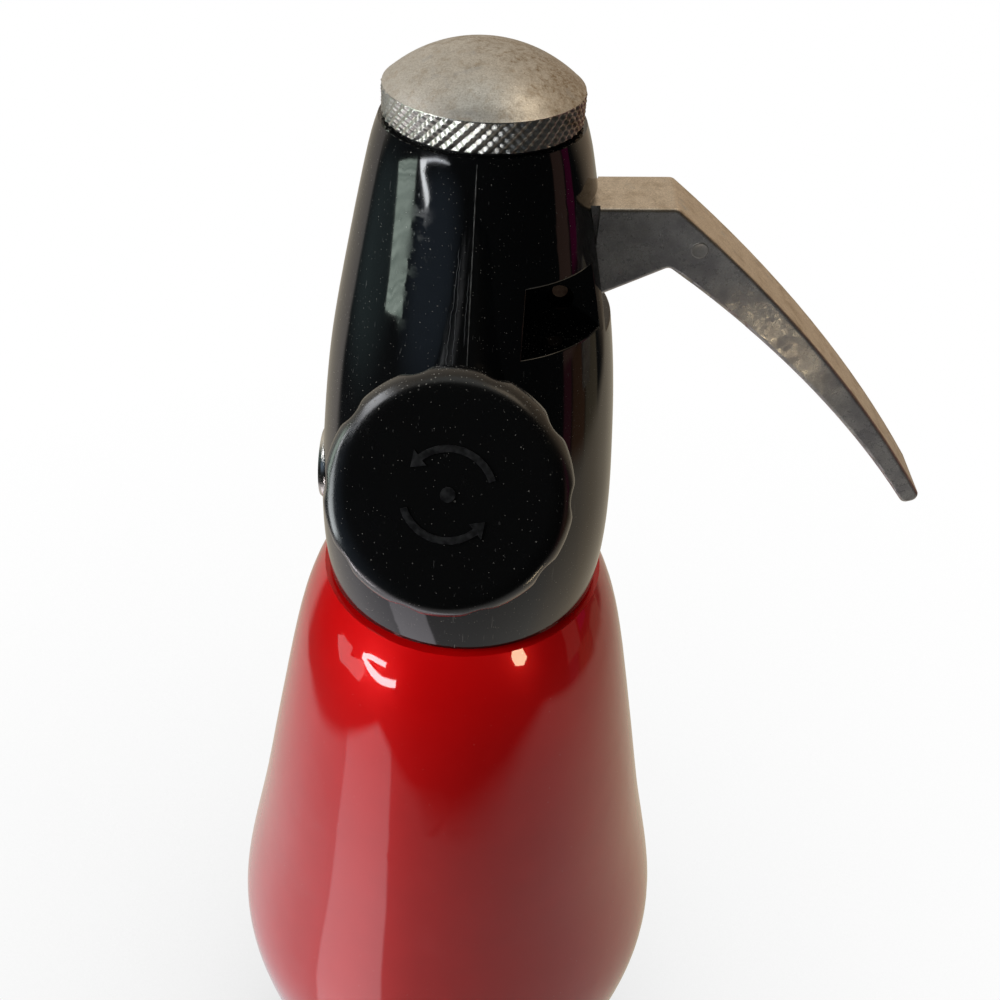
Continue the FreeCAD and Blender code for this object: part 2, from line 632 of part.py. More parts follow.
def make_top_cap():
    """Domed screw cap with a plain band for the knurl and a hollow underside."""
    band_top = CAP_LOW + CAP_BAND
    dome_top = band_top + CAP_DOME
    edge = 0.3
    crown = dome(CAP_R - edge, HEAD_Z + band_top + edge, CAP_DOME - edge)
    below = [(0, dome_top), (0, CAP_CEILING), (TOWER_R + RUNNING_GAP, CAP_CEILING),
             (TOWER_R + RUNNING_GAP, CAP_LOW), (10.2, CAP_LOW), (10.2, band_top - 0.6),
             (13.0, band_top - 1.4), (13.4, CAP_LOW), (CAP_R - 0.4, CAP_LOW), (CAP_R, CAP_LOW + 0.4),
             (CAP_R, band_top), (CAP_R - edge, band_top + edge)]
    return turned([crown] + polyline(below))


# ---------------------------------------------------------------- export
NODES = {
    "bottle": make_bottle,
    "neck_ring": make_neck_ring,
    "foot_ring": make_foot_ring,
    "measuring_tube": make_measuring_tube,
    "neck_gasket": make_neck_gasket,
    "head_housing": make_head_housing,
    "valve_body": make_valve_body,
    "valve_tower": make_valve_tower,
    "lever_pin": make_lever_pin,
    "valve_seat": make_valve_seat,
    "stem_seal": lambda: o_ring(STEM_R + 0.08, CHAMBER_R, CHAMBER_TOP - 2.12),
    "seal_bush": make_seal_bush,
    "spring_plug": make_spring_plug,
    "outlet_socket": make_outlet_socket,
    "outlet_seal": make_outlet_seal,
    "check_valve": make_check_valve,
    "riser_nut": make_riser_nut,
    "riser_gasket": make_riser_gasket,
    "riser_tube": make_riser_tube,
    "charger_socket": make_charger_socket,
    "piercing_pin": make_piercing_pin,
    "charger_gasket": make_charger_gasket,
    "valve_stem": make_valve_stem,
    "valve_washer": make_valve_washer,
    "stem_collar": make_stem_collar,
    "stem_nut": make_stem_nut,
    "valve_spring": make_valve_spring,
    "lever": make_lever,
    "co2_charger": make_co2_charger,
    "charger_holder": make_charger_holder,
    "holder_knob": make_holder_knob,
    "cap_washer": make_cap_washer,
    "top_cap": make_top_cap,
}

os.makedirs("parts", exist_ok=True)
for name, make in NODES.items():
    shape = make()
    if len(shape.Solids) == 1:
        shape = shape.Solids[0]
    box = shape.BoundBox
    print(f"{name:16s} solids {len(shape.Solids)} valid {shape.isValid()} volume {shape.Volume:9.1f} "
          f"z {box.ZMin:7.2f} {box.ZMax:7.2f}")
    shape.exportStep(f"parts/{name}.step")
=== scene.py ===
import bpy
import json
import math
from mathutils import Matrix, Vector


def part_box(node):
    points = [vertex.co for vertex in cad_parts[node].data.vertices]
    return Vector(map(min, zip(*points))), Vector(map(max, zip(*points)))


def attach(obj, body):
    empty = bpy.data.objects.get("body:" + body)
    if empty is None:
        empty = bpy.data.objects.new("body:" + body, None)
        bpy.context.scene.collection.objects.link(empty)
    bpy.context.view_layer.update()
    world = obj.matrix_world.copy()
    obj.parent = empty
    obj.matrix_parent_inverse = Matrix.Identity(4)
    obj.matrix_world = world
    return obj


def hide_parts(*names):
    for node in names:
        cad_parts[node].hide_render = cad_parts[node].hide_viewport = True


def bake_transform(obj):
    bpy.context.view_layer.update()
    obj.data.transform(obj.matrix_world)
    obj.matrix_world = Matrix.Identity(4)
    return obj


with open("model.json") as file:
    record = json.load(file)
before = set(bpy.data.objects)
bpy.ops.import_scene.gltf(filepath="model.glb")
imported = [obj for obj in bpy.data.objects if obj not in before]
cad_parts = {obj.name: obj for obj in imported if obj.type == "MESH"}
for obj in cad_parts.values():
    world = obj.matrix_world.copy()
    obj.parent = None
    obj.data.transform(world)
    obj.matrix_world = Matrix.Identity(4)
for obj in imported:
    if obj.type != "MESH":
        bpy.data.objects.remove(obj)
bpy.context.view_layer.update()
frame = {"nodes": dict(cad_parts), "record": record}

# ------------------------------------------------------------------ shared dimensions, mm
HEAD_Z = 215.0                  # foot plane to the head's lower edge
TILT = math.radians(35.0)       # charger axis above the horizontal
TILT_HEIGHT = 24.3
MM = 0.001

HEAD_CURVE = [(27.0, 0.0), (27.7, 13.6), (26.6, 31.7), (24.6, 49.7), (21.2, 67.8), (17.8, 83.5), (16.9, 87.0),
              (15.9, 89.9)]
CAP_LOW = 90.4
CAP_R = 15.4
BAND_TOP = 94.8
DOME_RISE = 5.6
KNOB_R = 15.1
KNOB_FACE = 81.8
KNOB_FLUTE_STEP = math.radians(36.0)
FLUTE_R = 3.2
FLUTE_REACH = 17.75             # from the knob's axis to the middle of a flute's arc
HOLDER_R = 10.6
LEVER_HALF = 6.2

AXIS_FRAME = (Matrix.Translation((0, 0, (HEAD_Z + TILT_HEIGHT) * MM))
              @ Matrix.Rotation(math.pi / 2 - TILT, 4, "X"))
UP_FRAME = Matrix.Translation((0, 0, HEAD_Z * MM))


# ------------------------------------------------------------------ node tools
class Shader:
    """A node tree with short calls. Lengths in texture calls are millimetres."""

    def __init__(self, tree):
        self.tree = tree
        tree.nodes.clear()

    def node(self, kind, values=None, **settings):
        item = self.tree.nodes.new(kind)
        for key, value in settings.items():
            setattr(item, key, value)
        for key, value in (values or {}).items():
            self.put(item.inputs[key], value)
        return item

    def put(self, socket, value):
        if isinstance(value, bpy.types.NodeSocket):
            self.tree.links.new(value, socket)
        elif isinstance(value, tuple) and len(value) == 3 and socket.type == "RGBA":
            socket.default_value = (*value, 1.0)
        else:
            socket.default_value = value

    def math(self, operation, a, b=0.0):
        return self.node("ShaderNodeMath", {0: a, 1: b}, operation=operation).outputs[0]

    def times(self, a, b):
        return self.math("MULTIPLY", a, b)

    def plus(self, a, b):
        return self.math("ADD", a, b)

    def most(self, a, b):
        return self.math("MAXIMUM", a, b)

    def map_range(self, value, low, high, to_low, to_high, kind):
        item = self.node("ShaderNodeMapRange", {"Value": value, "From Min": low, "From Max": high,
                                                "To Min": to_low, "To Max": to_high},
                         interpolation_type=kind)
        return item.outputs[0]

    def step(self, value, low, high, to_low=0.0, to_high=1.0):
        """Smooth step from low to high."""
        return self.map_range(value, low, high, to_low, to_high, "SMOOTHSTEP")

    def line(self, value, low, high, to_low=0.0, to_high=1.0):
        """Straight rise from low to high, level outside them."""
        return self.map_range(value, low, high, to_low, to_high, "LINEAR")

    def split(self, vector):
        """The x, y and z of a vector."""
        return self.node("ShaderNodeSeparateXYZ", {0: vector}).outputs

    def mix(self, share, a, b):
        item = self.node("ShaderNodeMix", data_type="RGBA")
        self.put(item.inputs[0], share)
        self.put(item.inputs[6], a)
        self.put(item.inputs[7], b)
        return item.outputs[2]

    def band(self, value, low, high, soft):
        """1 between low and high, falling to 0 within soft outside them."""
        return self.times(self.step(value, low - soft, low), self.step(value, high, high + soft, 1.0, 0.0))

    def place(self, stretch=(1, 1, 1), turn=(0, 0, 0)):
        """Object coordinates in millimetres, squeezed by stretch."""
        at = self.node("ShaderNodeTexCoord").outputs["Object"]
        item = self.node("ShaderNodeMapping", {"Vector": at, "Rotation": turn,
                                               "Scale": tuple(s / MM for s in stretch)})
        return item.outputs[0]

    def noise(self, size, detail=3.0, stretch=(1, 1, 1), turn=(0, 0, 0), rough=0.5):
        item = self.node("ShaderNodeTexNoise", {"Vector": self.place(stretch, turn), "Scale": 1.0 / size,
                                                "Detail": detail, "Roughness": rough})
        return item.outputs[0]

    def specks(self, cell, radius, share):
        """Round spots of about radius, in that share of cells."""
        item = self.node("ShaderNodeTexVoronoi", {"Vector": self.place(), "Scale": 1.0 / cell})
        dot = self.step(item.outputs["Distance"], 0.5 * radius / cell, radius / cell, 1.0, 0.0)
        pick = self.node("ShaderNodeSeparateColor", {0: item.outputs["Color"]}).outputs[0]
        return self.times(dot, self.math("GREATER_THAN", pick, 1.0 - share))

    def hairline(self, width, turn, share):
        """Long fine scratches that run up the surface, leaning by turn."""
        return self.step(self.noise(width, 1.0, stretch=(1, 1, 0.02), turn=turn), 1.0 - share, 1.06 - share)

    def facing_up(self, low, high):
        """Rises from 0 to 1 as the surface turns upwards."""
        normal = self.node("ShaderNodeNewGeometry").outputs["True Normal"]
        return self.step(self.split(normal)[2], low, high)

    def bump(self, height, depth, strength=1.0, normal=None):
        values = {"Height": height, "Strength": strength, "Distance": depth * MM}
        if normal is not None:
            values["Normal"] = normal
        return self.node("ShaderNodeBump", values).outputs[0]

    def emission(self, colour, strength):
        return self.node("ShaderNodeEmission", {"Color": colour, "Strength": strength}).outputs[0]

    def clear(self):
        return self.node("ShaderNodeBsdfTransparent", {"Color": (1, 1, 1)}).outputs[0]

    def mix_shader(self, share, a, b):
        return self.node("ShaderNodeMixShader", {0: share, 1: a, 2: b}).outputs[0]

    def by_ray(self, matt, gloss, seen):
        """One shader that lights matt surfaces, one that gloss mirrors, one for the camera and glass."""
        ray = self.node("ShaderNodeLightPath").outputs
        surroundings = self.mix_shader(ray["Is Glossy Ray"], matt, gloss)
        shown = self.most(ray["Is Camera Ray"], ray["Is Transmission Ray"])
        return self.mix_shader(shown, surroundings, seen)


def new_material(name):
    mat = bpy.data.materials.new(name)
    mat.use_nodes = True
    return mat, Shader(mat.node_tree)


def add_object(name, data):
    item = bpy.data.objects.new(name, data)
    bpy.context.scene.collection.objects.link(item)
    return item


def surface(name, values):
    """Principled material. values is a function of the shader that gives the socket values."""
    mat, shader = new_material(name)
    out = shader.node("ShaderNodeOutputMaterial")
    principled = shader.node("ShaderNodeBsdfPrincipled", values(shader))
    shader.tree.links.new(principled.outputs[0], out.inputs[0])
    return mat


# ------------------------------------------------------------------ materials
def red_lacquer(s):
    cloud = s.noise(9.0, 4.0)
    flake = s.noise(0.16, 2.0, rough=0.7)
    dust = s.most(s.specks(1.6, 0.12, 0.16), s.specks(0.7, 0.06, 0.14))
    scratch = s.hairline(0.9, (0, 0.1, 0.05), 0.28)
    colour = s.mix(cloud, (0.60, 0.0012, 0.002), (0.68, 0.002, 0.003))
    colour = s.mix(s.times(dust, 0.30), colour, (0.75, 0.55, 0.5))
    coat = s.line(s.noise(14.0, 5.0), 0.3, 0.75, 0.028, 0.055)
    coat = s.plus(coat, s.times(scratch, 0.10))
    normal = s.bump(s.noise(30.0, 2.0), 0.10, 0.35)
    normal = s.bump(flake, 0.004, 0.35, normal)
    return {"Base Color": colour, "Metallic": 0.25, "Roughness": s.line(flake, 0.2, 0.8, 0.34, 0.44),
            "Coat Weight": 1.0, "Coat Roughness": coat, "Coat IOR": 1.5, "Specular IOR Level": 0.1,
            "Normal": normal}


def dusty(s, black, low_rough, high_rough, smear_size):
    """Dark gloss plastic with smears, dust that also lies thicker on top faces, and hair scratches."""
    smear = s.noise(smear_size, 5.0, stretch=(1, 1, 0.5))
    fine = s.most(s.specks(0.5, 0.07, 0.40), s.specks(1.2, 0.12, 0.28))
    lying = s.times(s.specks(0.45, 0.12, 0.55), s.facing_up(0.62, 0.86))
    dust = s.most(fine, lying)
    marks = s.most(s.hairline(0.5, (0.05, 0.12, 0.1), 0.26),
                   s.hairline(0.45, (0.6, -0.35, 0.2), 0.25))
    colour = s.mix(s.times(dust, 0.75), black, (0.30, 0.29, 0.26))
    colour = s.mix(s.times(marks, 0.16), colour, (0.25, 0.25, 0.24))
    rough = s.line(smear, 0.3, 0.75, low_rough, high_rough)
    rough = s.plus(rough, s.times(marks, 0.12))
    rough = s.plus(rough, s.times(dust, 0.4))
    return colour, rough, marks


# Three long scratches beside the seam, above the knob: x at the upper end in mm, lean as sideways
# travel for each mm of height, then the heights of the lower and upper end in mm.
LONG_SCRATCHES = ((-2.0, 0.082, 273.0, 291.5), (-1.8, 0.035, 274.0, 290.0), (-0.4, 0.03, 279.0, 288.0))
SCRATCH_HALF = 0.025


def black_gloss(s):
    colour, rough, marks = dusty(s, (0.0040, 0.0045, 0.0050), 0.045, 0.10, 11.0)
    x, y, z = s.split(s.place())
    front = s.step(y, -8.0, -12.0)
    wander = s.line(s.noise(2.0, 2.0), 0.3, 0.7, -0.12, 0.12)
    long_marks = 0.0
    for across, lean, low, high in LONG_SCRATCHES:
        off = s.plus(s.plus(x, -across), s.times(s.math("SUBTRACT", high, z), lean))
        wide = s.band(s.plus(off, wander), -SCRATCH_HALF, SCRATCH_HALF, 2 * SCRATCH_HALF)
        line = s.times(wide, s.band(z, low, high, 1.5))
        long_marks = s.most(long_marks, s.times(line, front))
    colour = s.mix(s.times(long_marks, 0.35), colour, (0.25, 0.26, 0.27))
    smudge = s.times(s.band(x, -9.5, -6.5, 2.5), s.band(z, 279.0, 296.0, 4.0))
    smudge = s.times(smudge, s.times(front, s.step(s.noise(2.2, 4.0), 0.47, 0.62)))
    rough = s.plus(rough, s.times(smudge, 0.17))
    marks = s.most(marks, long_marks)
    normal = s.bump(s.noise(22.0, 2.0), 0.12, 0.35)
    return {"Base Color": colour, "Roughness": rough, "IOR": 1.5,
            "Normal": s.bump(marks, -0.004, 0.4, normal)}


def knob_black(s):
    colour, rough, marks = dusty(s, (0.0056, 0.0058, 0.0060), 0.20, 0.30, 5.0)
    normal = s.bump(s.noise(0.25, 3.0), 0.010, 0.35, s.bump(s.noise(9.0, 2.0), 0.08, 0.4))
    return {"Base Color": colour, "Roughness": rough, "IOR": 1.48,
            "Normal": s.bump(marks, -0.004, 0.4, normal)}


def seam_sheen_and_dust_values(s):
    """The mould's parting line: its pale colour is a painted highlight along the ridge, together with dust
    and polish gathered there.
    """
    grain = s.noise(0.5, 4.0, stretch=(1, 1, 0.2))
    # Pale grain along the seam: painted highlight mixed with dust.
    return {"Base Color": s.mix(s.line(grain, 0.35, 0.65), (0.03, 0.03, 0.03), (0.16, 0.16, 0.155)),
            "Roughness": s.line(grain, 0.3, 0.7, 0.3, 0.5), "IOR": 1.5, "Normal": s.bump(grain, 0.02, 0.4)}


def faint_edge(s):
    """Raised mark on the knob, a little paler where fingers have worn it."""
    grain = s.noise(0.6, 4.0)
    return {"Base Color": s.mix(s.line(grain, 0.35, 0.65), (0.010, 0.010, 0.011), (0.038, 0.039, 0.040)),
            "Roughness": s.line(grain, 0.3, 0.7, 0.35, 0.5), "IOR": 1.5, "Normal": s.bump(grain, 0.02, 0.4)}


def foot_black(s):
    grain = s.noise(0.35, 3.0)
    wear = s.noise(7.0, 5.0)
    low = s.step(s.split(s.place())[2], 0.6, 3.0, 1.0, 0.0)
    scuff = s.times(low, s.step(s.noise(1.2, 4.0, stretch=(1, 1, 3)), 0.48, 0.62))
    colour = s.mix(s.times(scuff, 0.6), (0.016, 0.016, 0.018), (0.12, 0.115, 0.11))
    return {"Base Color": colour, "Roughness": s.line(wear, 0.3, 0.7, 0.36, 0.52), "IOR": 1.48,
            "Normal": s.bump(grain, 0.03, 0.5)}


def worn_metal(s, clean, stain, stain_at, roughs, pits, oxide_share, speckle=0.5, relief=0.035, nicks=0.20,
               stain_size=4.2):
    """Aluminium with fine speckle, faint stains, pits, bright nicks and chalky patches."""
    stain_mask = s.step(s.noise(stain_size, 8.0, rough=0.72), *stain_at)
    mottle = s.noise(1.3, 5.0, rough=0.65)
    grain = s.noise(0.26, 3.0, rough=0.75)
    pit = s.times(s.specks(0.6, 0.13, pits), 0.8)
    nick = s.specks(0.6, 0.085, nicks)
    chalk = s.noise(5.0, 6.0, rough=0.7)
    oxide = s.times(s.step(chalk, 1.0 - oxide_share, 1.12 - oxide_share), 0.7)
    colour = s.mix(s.times(stain_mask, 0.75), clean, stain)
    colour = s.mix(s.line(mottle, 0.35, 0.7, 0.0, 0.35), colour, tuple(0.66 * c for c in clean))
    colour = s.mix(s.line(grain, 0.42, 0.66, 0.0, speckle), colour, tuple(0.55 * c for c in stain))
    colour = s.mix(pit, colour, tuple(0.22 * c for c in stain))
    colour = s.mix(nick, colour, (0.92, 0.88, 0.82))
    colour = s.mix(oxide, colour, (0.42, 0.41, 0.39))
    rough = s.plus(s.line(mottle, 0.3, 0.7, *roughs), s.times(stain_mask, 0.08))
    height = s.plus(s.times(grain, 0.35), s.times(mottle, 0.65))
    normal = s.bump(s.times(pit, -1.0), 0.05, 0.6, s.bump(height, relief, 0.5))
    return {"Base Color": colour, "Metallic": s.line(oxide, 0, 1, 0.88, 0.15), "Roughness": rough,
            "Normal": normal}


def cap_metal(s):
    """Cleaner on the front of the dome, browner towards the back and right."""
    values = worn_metal(s, (0.69, 0.675, 0.635), (0.50, 0.43, 0.34), (0.50, 0.66), (0.31, 0.43), 0.16, 0.42,
                        relief=0.06, nicks=0.30, stain_size=2.0)
    x, y, _ = s.split(s.place())
    back = s.plus(y, s.times(x, 0.6))
    patchy = s.plus(back, s.line(s.noise(1.6, 8.0, rough=0.75), 0.3, 0.7, -11.0, 11.0))
    grains = s.line(s.noise(0.42, 4.0, rough=0.8), 0.40, 0.56, 0.20, 1.0)
    brown = s.times(s.step(patchy, -4.0, 7.0), grains)
    values["Base Color"] = s.mix(brown, values["Base Color"], (0.29, 0.225, 0.15))
    return values


def lever_metal(s):
    """Top faces painted warm as a painted reflection of warm surroundings, and smoother where hands polish
    them; sides painted grey as a painted reflection of the dark room, blotched with oxide.
    """
    values = worn_metal(s, (0.78, 0.69, 0.575), (0.50, 0.40, 0.29), (0.46, 0.68), (0.34, 0.48), 0.17, 0.40,
                        relief=0.05, nicks=0.28)
    # Grey copy of the metal for the sides: painted reflection of the dark room.
    grey = s.node("ShaderNodeHueSaturation",
                  {"Saturation": 0.22, "Value": 0.95, "Color": values["Base Color"]})
    blotch = s.times(s.step(s.noise(4.5, 6.0, rough=0.65), 0.40, 0.68), 0.75)
    side = s.mix(blotch, grey.outputs[0], (0.34, 0.325, 0.34))
    dust = s.most(s.specks(0.55, 0.07, 0.34), s.specks(1.1, 0.11, 0.16))
    side = s.mix(s.times(dust, 0.6), side, (0.85, 0.84, 0.82))
    # Painted reflection: faces turned up take the warm colour, the sides the grey one.
    top = s.facing_up(0.1, 0.5)
    values["Base Color"] = s.mix(top, side, values["Base Color"])
    values["Metallic"] = s.times(values["Metallic"], s.line(top, 0.0, 1.0, 0.5, 1.0))
    values["Roughness"] = s.plus(values["Roughness"], s.line(top, 0.0, 1.0, -0.12, 0.0))
    return values


def pin_scar(s):
    """Brighter metal of the ejector mark."""
    return worn_metal(s, (0.80, 0.76, 0.70), (0.55, 0.50, 0.44), (0.55, 0.75), (0.4, 0.52), 0.08, 0.55, 0.3)


def bare_metal(s, colour, rough, tint=0.25):
    """Turned metal: fine lines and a light bloom."""
    bloom = s.noise(3.0, 4.0)
    lines = s.noise(0.3, 2.0, stretch=(0.3, 0.3, 2.5))
    base = s.mix(s.line(bloom, 0.35, 0.7, 0.0, tint), colour, tuple(0.55 * c for c in colour))
    return {"Base Color": base, "Metallic": 1.0, "Roughness": s.line(bloom, 0.3, 0.7, rough, rough + 0.12),
            "Normal": s.bump(lines, 0.02, 0.35)}


def rubber(s):
    grain = s.noise(0.3, 3.0)
    bloom = s.noise(2.5, 4.0)
    colour = s.mix(s.line(bloom, 0.4, 0.7, 0.0, 0.5), (0.018, 0.018, 0.018), (0.06, 0.06, 0.058))
    return {"Base Color": colour,
            "Roughness": s.line(grain, 0.3, 0.7, 0.55, 0.72), "Normal": s.bump(grain, 0.03, 0.5)}


def pale_plastic(s):
    cloud = s.noise(6.0, 4.0)
    return {"Base Color": s.mix(cloud, (0.74, 0.73, 0.69), (0.82, 0.81, 0.78)),
            "Roughness": s.line(cloud, 0.3, 0.7, 0.34, 0.5), "IOR": 1.5, "Subsurface Weight": 0.15,
            "Subsurface Scale": 0.002, "Normal": s.bump(s.noise(0.5, 3.0), 0.02, 0.4)}


def tarnish(s):
    """The pin's end: dull brown skin over brass."""
    skin = s.noise(0.7, 4.0)
    colour = s.mix(s.line(skin, 0.35, 0.65), (0.46, 0.26, 0.17), (0.62, 0.42, 0.30))
    return {"Base Color": colour, "Metallic": 0.2,
            "Roughness": s.line(skin, 0.3, 0.7, 0.4, 0.6), "Normal": s.bump(skin, 0.03, 0.5)}


def bare(colour, rough, tint=0.25):
    """bare_metal with its colour and roughness already chosen."""
    return lambda s: bare_metal(s, colour, rough, tint)


SURFACES = {
    "bottle_red": surface("red_lacquer", red_lacquer),
    "bottle_metal": surface("machined_aluminium", bare((0.72, 0.72, 0.73), 0.30)),
    "foot_plastic": surface("foot_black", foot_black),
    "head_plastic": surface("black_gloss", black_gloss),
    "knob_plastic": surface("knob_black", knob_black),
    "valve_brass": surface("turned_brass", bare((0.68, 0.47, 0.20), 0.28)),
    "tower_brass": surface("blackened_brass", bare((0.055, 0.048, 0.038), 0.42, 0.5)),
    "lever_metal": surface("cast_aluminium", lever_metal),
    "cap_metal": surface("cap_aluminium", cap_metal),
    "steel": surface("turned_steel", bare((0.56, 0.56, 0.57), 0.26)),
    "spring_steel": surface("spring_wire", bare((0.44, 0.44, 0.46), 0.30)),
    "charger_steel": surface("zinc_plate", bare((0.62, 0.63, 0.66), 0.24)),
    "socket_brass": surface("nickel_plate", bare((0.66, 0.64, 0.60), 0.20)),
    "seal_rubber": surface("black_rubber", rubber),
    "tube_plastic": surface("natural_polyethylene", pale_plastic),
}
WORN_PIN = surface("tarnished_pin", tarnish)
SEAM_SHEEN_AND_DUST = surface("seam_sheen_and_dust", seam_sheen_and_dust_values)
MARK_EDGE = surface("mark_edge", faint_edge)
PIN_SCAR = surface("moulding_scar", pin_scar)
SLOT_OF = {part["node"]: part["material_slot"] for part in frame["record"]["subparts"]}


# ------------------------------------------------------------------ mesh tools
def piece(name, points, faces, slot, body, smooth=True, place=UP_FRAME, finish=None):
    """Mesh object from points in millimetres, with a material. It rides on body unless that is None."""
    mesh = bpy.data.meshes.new(name)
    mesh.from_pydata([place @ (Vector(p) * MM) for p in points], [], faces)
    mesh.validate()
    mesh.update()
    item = add_object(name, mesh)
    mesh.materials.append(finish or SURFACES[slot])
    if smooth:
        mesh.shade_smooth()
    if body:
        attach(item, body)
    return item


def lathe(rows, count):
    """Points and faces of a turned form. A row is (radius, height) or a function of the angle."""
    points = []
    starts = []
    for row in rows:
        starts.append(len(points))
        if not callable(row) and row[0] == 0:
            points.append((0, 0, row[1]))
            continue
        for i in range(count):
            angle = 2 * math.pi * i / count
            radius, height = row(angle) if callable(row) else row
            points.append((radius * math.cos(angle), radius * math.sin(angle), height))
    starts.append(len(points))
    faces = []
    for k in range(len(rows) - 1):
        a, b = starts[k], starts[k + 1]
        one_a = b - a == 1
        one_b = starts[k + 2] - b == 1
        for i in range(count):
            j = (i + 1) % count
            if one_a:
                faces.append((a, b + j, b + i))
            elif one_b:
                faces.append((a + i, a + j, b))
            else:
                faces.append((a + i, a + j, b + j, b + i))
    return points, faces


def closed_lathe(rows, count):
    """Turned ring: the last row joins the first."""
    points, faces = lathe(rows, count)
    last = len(points) - count
    for i in range(count):
        j = (i + 1) % count
        faces.append((last + i, last + j, j, i))
    return points, faces


def crease_smooth(item, degrees):
    item.data.set_sharp_from_angle(angle=math.radians(degrees))


# ------------------------------------------------------------------ knurled cap
KNURL_RISING = (51, 0.42)       # grooves that rise to the right: how many round, and their depth
KNURL_FALLING = (68, 0.13)      # the shallower ones that cross them
KNURL_COLUMNS = 816             # sixteen columns for each rising groove, twelve for each falling one
KNURL_ROWS = 30
KNURL_MARGIN = 0.10             # plain edge above and below the knurl
CAP_CEILING = 96.2
CAP_BORE_R = 8.56
CAP_HUB_R = 10.2
CAP_RECESS = [(CAP_HUB_R, 94.2), (13.0, 93.4)]      # top of the ring-shaped recess underneath
CAP_SKIRT_R = 13.4
DOME_R = 15.0
DOME_LIFT = 0.3                 # foot of the dome above the band
DOME_STEPS = 22


def groove(angle, height, kind, way):
    """Depth of one family of 45 degree grooves at a place on the band."""
    count, depth = kind
    pitch = 2 * math.pi * CAP_R / count
    phase = (count * angle / (2 * math.pi) - way * height / pitch) % 1.0
    ridge = abs(2 * phase - 1)
    return depth * (1 - min(1.0, 1.12 * ridge))


def knurl_row(height):
    def at(angle):
        cut = groove(angle, height, KNURL_RISING, 1) + groove(angle, height, KNURL_FALLING, -1)
        return CAP_R - cut, height
    return at


def make_cap():
    low, high = CAP_LOW + KNURL_MARGIN, BAND_TOP - KNURL_MARGIN
    rows = [(0, CAP_CEILING), (CAP_BORE_R, CAP_CEILING), (CAP_BORE_R, CAP_LOW), (CAP_HUB_R, CAP_LOW)]
    rows += CAP_RECESS
    rows += [(CAP_SKIRT_R, CAP_LOW), (CAP_R - 0.55, CAP_LOW), (CAP_R - 0.35, CAP_LOW)]
    for k in range(KNURL_ROWS + 1):
        rows.append(knurl_row(low + (high - low) * k / KNURL_ROWS))
    rows.append((CAP_R - 0.16, BAND_TOP + 0.02))
    rows.append((CAP_R - 0.18, BAND_TOP + 0.14))
    sphere = (DOME_R ** 2 + DOME_RISE ** 2) / (2 * DOME_RISE)
    middle = BAND_TOP + DOME_LIFT + DOME_RISE - sphere
    half = math.asin(DOME_R / sphere)
    for k in range(DOME_STEPS):
        angle = half * (1 - k / DOME_STEPS)
        rows.append((sphere * math.sin(angle), middle + sphere * math.cos(angle)))
    rows.append((0, middle + sphere))
    points, faces = lathe(rows, KNURL_COLUMNS)
    item = piece("knurled_cap", points, faces, "cap_metal", "cap")
    crease_smooth(item, 28)
    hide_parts("top_cap")


# ------------------------------------------------------------------ screw threads
THREAD_STEPS = 8                # rows for each turn
LEAD_IN = 0.4                   # share of a turn over which a thread fades out
NECK_R = 18.6
NECK_BORE_R = 15.4
NECK_TOP = 9.5
NECK_LEDGE = -1.0
NECK_SPIGOT_R = 17.0
NECK_SPIGOT_LOW = -2.8
NECK_THREAD = 0.4, 9.0, 3.0, 0.9            # low, high, pitch, depth
HOLDER_BORE_R = 9.5
HOLDER_NEAR = 15.8                          # ends of the sleeve along its axis
HOLDER_FAR = 79.6
HOLDER_THREAD = HOLDER_NEAR + 0.5, 35.0, 2.0, 0.6


def thread_rows(radius, low, high, pitch, depth):
    """Rows of a screw thread cut below radius, with a short lead-in at both ends."""
    count = int((high - low) / pitch * THREAD_STEPS)
    rows = []
    for k in range(count + 1):
        height = low + (high - low) * k / count
        ends = min(1.0, (height - low) / (LEAD_IN * pitch), (high - height) / (LEAD_IN * pitch))

        def at(angle, height=height, ends=ends):
            phase = (height / pitch - angle / (2 * math.pi)) % 1.0
            cut = max(0.0, min(1.0, 1.6 * (1 - abs(2 * phase - 1)) - 0.3))
            return radius - depth * cut * ends, height
        rows.append(at)
    return rows


def turned_over(faces):
    return [face[::-1] for face in faces]


def make_neck_ring():
    rows = [(NECK_BORE_R, NECK_SPIGOT_LOW), (NECK_BORE_R, NECK_TOP), (NECK_R - 0.5, NECK_TOP),
            (NECK_R, NECK_TOP - 0.4)]
    rows += reversed(thread_rows(NECK_R, *NECK_THREAD))
    rows += [(NECK_R, 0.2), (NECK_R, NECK_LEDGE), (NECK_SPIGOT_R, NECK_LEDGE),
             (NECK_SPIGOT_R, NECK_SPIGOT_LOW)]
    points, faces = closed_lathe(rows, 144)
    item = piece("threaded_neck", points, turned_over(faces), "bottle_metal", "bottle")
    crease_smooth(item, 40)
    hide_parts("neck_ring")


def make_holder_sleeve():
    rows = [(HOLDER_BORE_R, HOLDER_NEAR), (HOLDER_BORE_R, HOLDER_FAR), (HOLDER_R, HOLDER_FAR),
            (HOLDER_R, 36.0)]
    rows += reversed(thread_rows(HOLDER_R, *HOLDER_THREAD))
    rows += [(HOLDER_R - 0.4, HOLDER_NEAR)]
    points, faces = closed_lathe(rows, 96)
    item = piece("threaded_sleeve", points, turned_over(faces), "socket_brass", "holder", place=AXIS_FRAME)
    crease_smooth(item, 40)
    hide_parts("charger_holder")


# ------------------------------------------------------------------ valve spring
SPRING_R = 4.2
SPRING_WIRE_R = 0.55
SPRING_TURNS = 6
SPRING_STEPS = 32               # rings of points for each turn
SPRING_SIDES = 12
SPRING_CLOSED = 0.45            # turns that lie flat at each end


